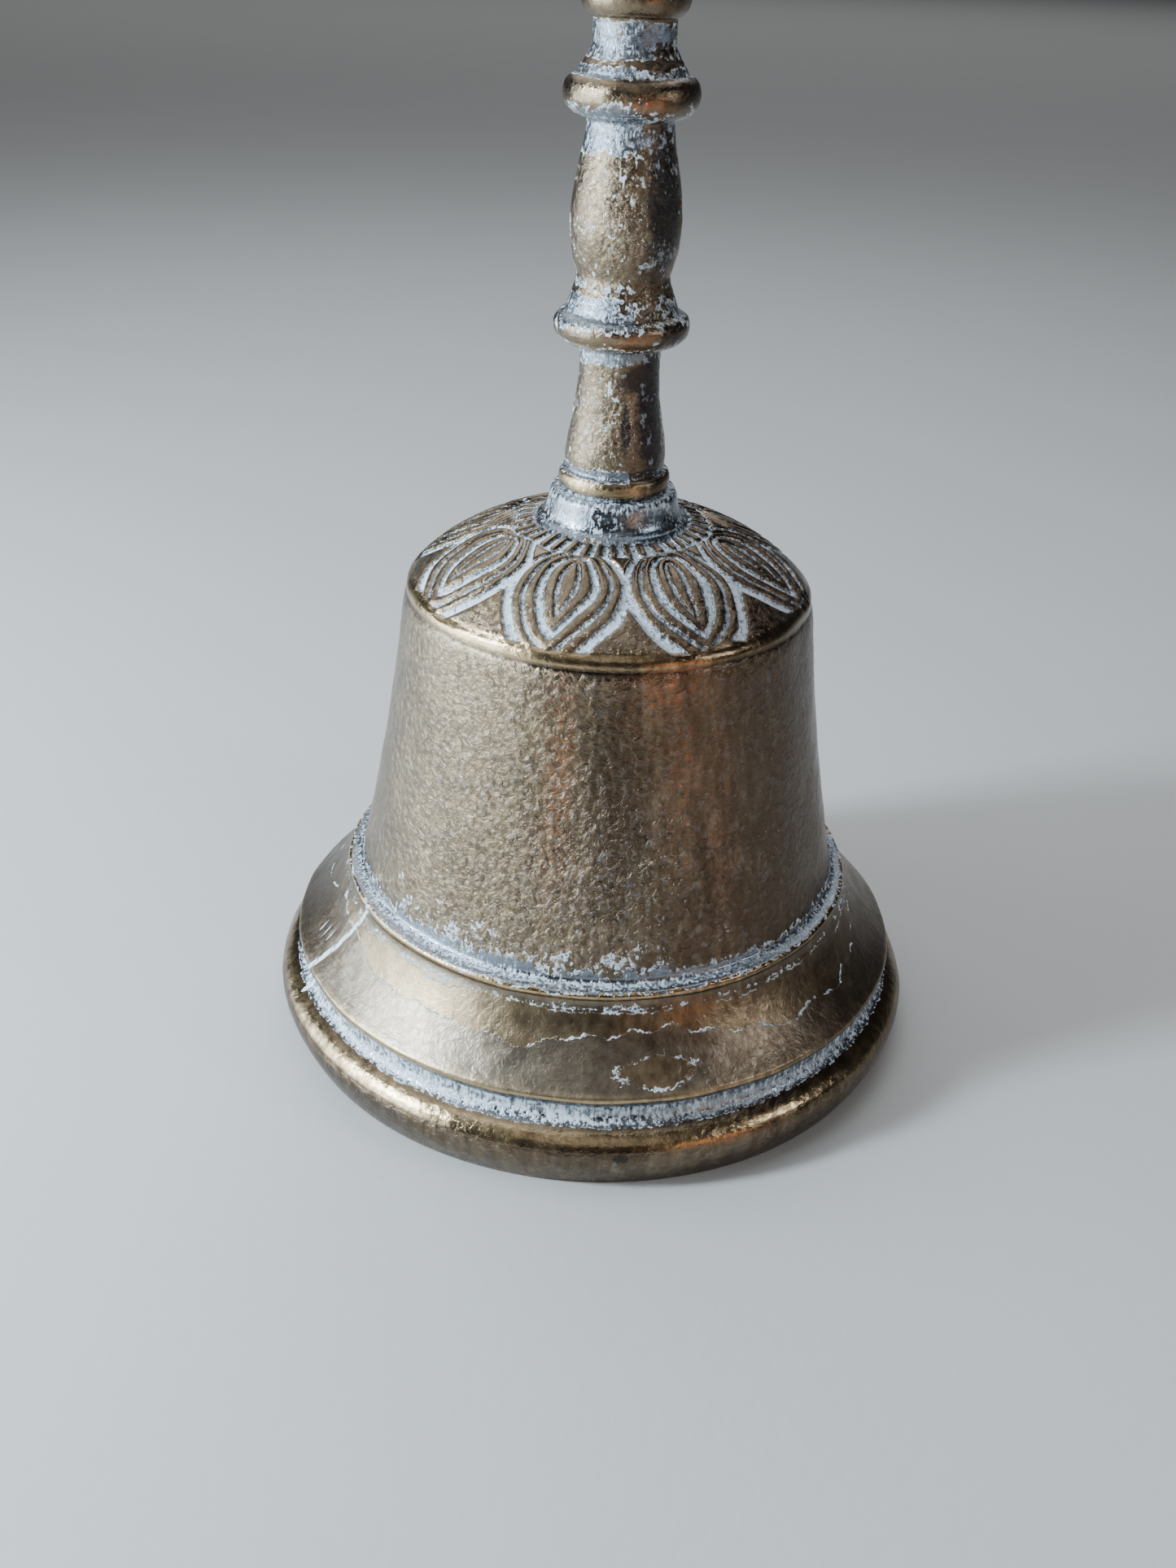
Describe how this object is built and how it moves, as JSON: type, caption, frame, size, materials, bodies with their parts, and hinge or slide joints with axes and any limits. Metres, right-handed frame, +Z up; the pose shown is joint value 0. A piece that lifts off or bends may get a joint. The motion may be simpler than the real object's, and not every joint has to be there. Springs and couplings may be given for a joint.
{
  "type": "brass hand bell",
  "caption": "Turned brass hand bell with a lotus-petal shoulder, a beaded handle and a ball clapper that swings inside on a wire ring.",
  "frame": {"origin": "centre of the mouth, on the plane of the rim that the bell stands on", "axes": "+Z up along the axis of turning, from the mouth to the finial; the eye's hole runs along Y, so the clapper's main swing is in the XZ plane; -Y is the front"},
  "size_m": [0.0782, 0.0782, 0.1401],
  "materials": {
    "cup_brass": "cast brass, brushed by hand, with brown patina and pale polish residue in its hollows",
    "handle_brass": "turned brass, worn bright on the beads",
    "fixing_brass": "machined brass, dulled",
    "clapper_iron": "dark bent wire, satin",
    "ball_brass": "cast brass, bright where it strikes"
  },
  "bodies": {
    "bell": {"bell_cup": "cup_brass", "handle_spindle": "handle_brass", "finial": "handle_brass", "crown_washer": "fixing_brass", "clamp_nut": "fixing_brass", "eye_bolt": "fixing_brass"},
    "ring": {"hanger_ring": "clapper_iron"},
    "clapper": {"clapper_rod": "clapper_iron", "clapper_ball": "ball_brass"}
  },
  "joints": [
    {"name": "ring_swing", "type": "hinge", "parent": "bell", "child": "ring", "pos_m": [0, 0, 0.0484], "axis": [0, 1, 0], "range_deg": [-30.5, 30.5]},
    {"name": "clapper_cross_swing", "type": "hinge", "parent": "ring", "child": "clapper", "pos_m": [0, 0, 0.0442], "axis": [1, 0, 0], "range_deg": [-7, 7]}
  ]
}
